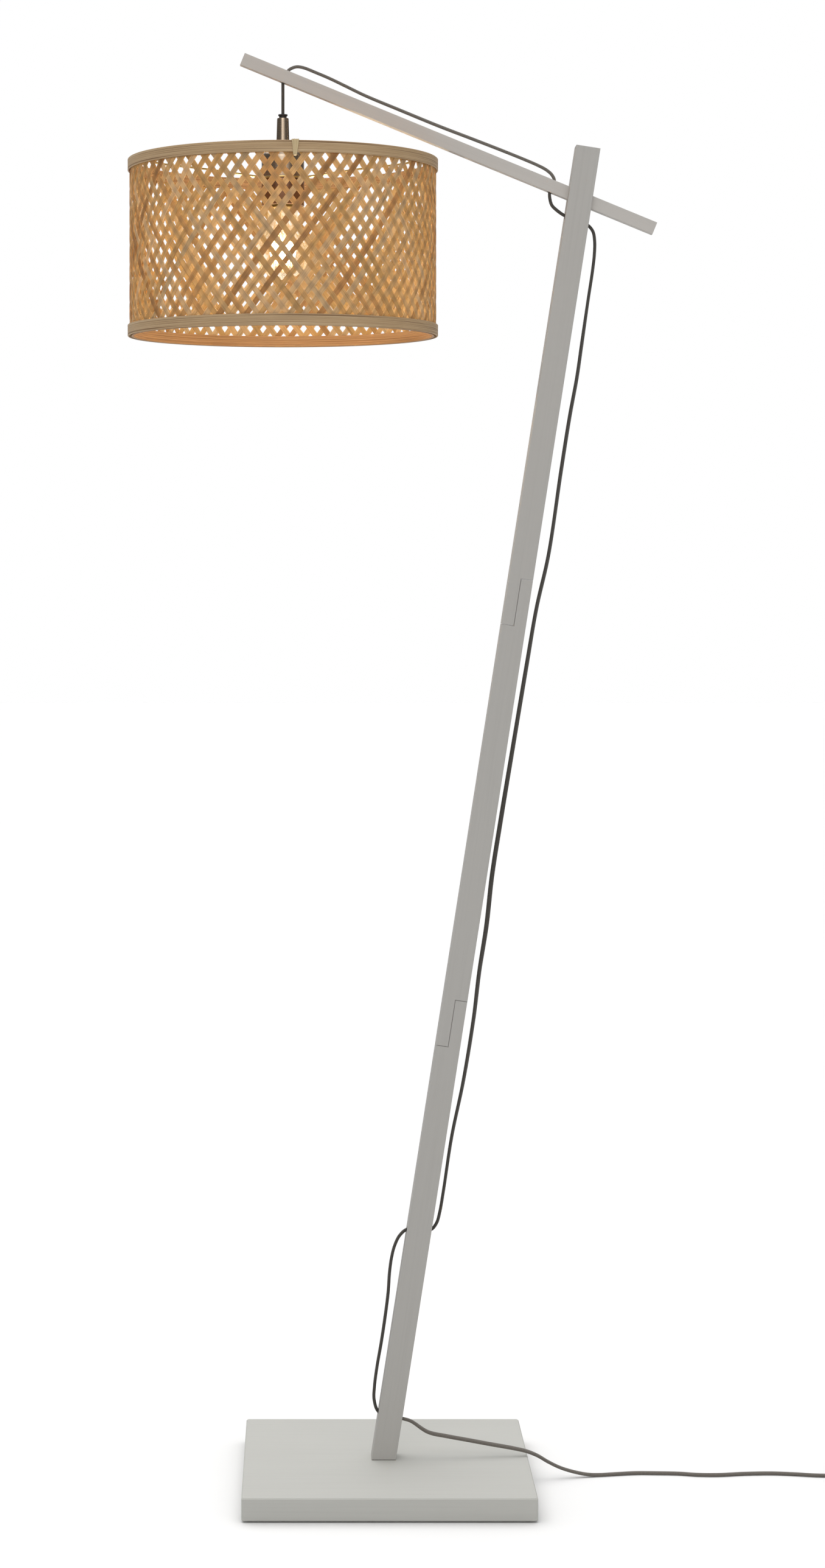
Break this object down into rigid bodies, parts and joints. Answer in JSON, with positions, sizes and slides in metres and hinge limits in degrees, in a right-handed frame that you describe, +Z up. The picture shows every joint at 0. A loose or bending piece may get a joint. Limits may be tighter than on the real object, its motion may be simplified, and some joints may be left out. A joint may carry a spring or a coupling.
{
  "type": "floor lamp",
  "caption": "Floor lamp with a leaning lapped pole on a square base, a slanted arm through it and a woven bamboo drum shade hung on a threaded cord.",
  "frame": {"origin": "centre of the footprint of the lamp without its free cord, on the floor", "axes": "+Z up, -Y towards the viewer of the picture (the lamp's front), +X to the right, the side that the pole leans to"},
  "size_m": [0.9408, 0.3432, 1.5723],
  "materials": {
    "painted_bamboo": "bamboo painted pale warm grey, satin",
    "bamboo_hoop": "bent split bamboo, pale, fine grain lines",
    "bamboo_weave": "split bamboo strips, natural tan and brown",
    "nickel": "brushed nickel plate",
    "steel": "zinc-plated steel",
    "brass": "plain brass",
    "black_plastic": "black moulded plastic",
    "grey_plastic": "dark grey moulded plastic",
    "cord": "flat two-core cable in dark grey woven textile",
    "felt": "pressed felt",
    "glass": "clear bulb glass",
    "filament": "glowing filament"
  },
  "bodies": {
    "stand": {"base_plate": "painted_bamboo", "pad_front_left": "felt", "pad_back_left": "felt", "pad_front_right": "felt", "pad_back_right": "felt", "foot_plate": "steel", "foot_screw_front": "steel", "foot_screw_back": "steel", "foot_insert_front": "brass", "foot_insert_back": "brass", "pole_lower": "painted_bamboo", "pole_middle": "painted_bamboo", "pole_upper": "painted_bamboo", "lap_screw_lower_bottom": "steel", "lap_screw_lower_top": "steel", "lap_screw_upper_bottom": "steel", "lap_screw_upper_top": "steel", "lap_insert_lower_bottom": "brass", "lap_insert_lower_top": "brass", "lap_insert_upper_bottom": "brass", "lap_insert_upper_top": "brass", "arm": "painted_bamboo", "arm_screw": "steel", "cord_arm_run": "cord", "cord_arm_loop": "cord", "cord_pole_run": "cord", "cord_foot_loop": "cord", "cord_lead": "cord", "cord_tail_in": "cord", "cord_coil": "cord", "cord_tail_out": "cord", "coil_tie": "black_plastic", "switch_floor": "grey_plastic", "switch_cover": "grey_plastic", "plug_body": "grey_plastic", "plug_pin_back": "steel", "plug_pin_front": "steel"},
    "hanging_cord": {"cord_drop": "cord"},
    "grip": {"cord_grip": "black_plastic"},
    "pendant": {"neck_cone": "nickel", "threaded_nipple": "steel", "lampholder_cup": "nickel", "lampholder_skirt": "nickel", "lampholder_core": "black_plastic", "thread_shell": "brass", "centre_contact": "brass", "bulb_glass": "glass", "bulb_cap": "brass", "bulb_stem": "glass", "bulb_filament": "filament", "shade_spider": "brass", "upper_outer_hoop": "bamboo_hoop", "upper_inner_hoop": "bamboo_hoop", "lower_outer_hoop": "bamboo_hoop", "lower_inner_hoop": "bamboo_hoop", "woven_wall": "bamboo_weave", "rim_lashing": "bamboo_hoop"},
    "button": {"switch_button": "black_plastic"}
  },
  "joints": [
    {"name": "swing_side", "type": "hinge", "parent": "stand", "child": "hanging_cord", "pos_m": [-0.12059, 0.00063, 1.53992], "axis": [0, 1, 0], "range_deg": [-3, 15]},
    {"name": "swing_front_back", "type": "hinge", "parent": "hanging_cord", "child": "grip", "pos_m": [-0.12059, 0.00063, 1.50172], "axis": [1, 0, 0], "range_deg": [-15, 15]},
    {"name": "shade_turn", "type": "hinge", "parent": "grip", "child": "pendant", "pos_m": [-0.12059, 0.00063, 1.5], "axis": [0, 0, 1], "range_deg": [-90, 90]},
    {"name": "switch_press", "type": "slide", "parent": "stand", "child": "button", "axis": [0, 0, -1], "range_m": [0, 0.0025], "stiffness_N_per_m": 500, "springref_m": -0.0005}
  ]
}
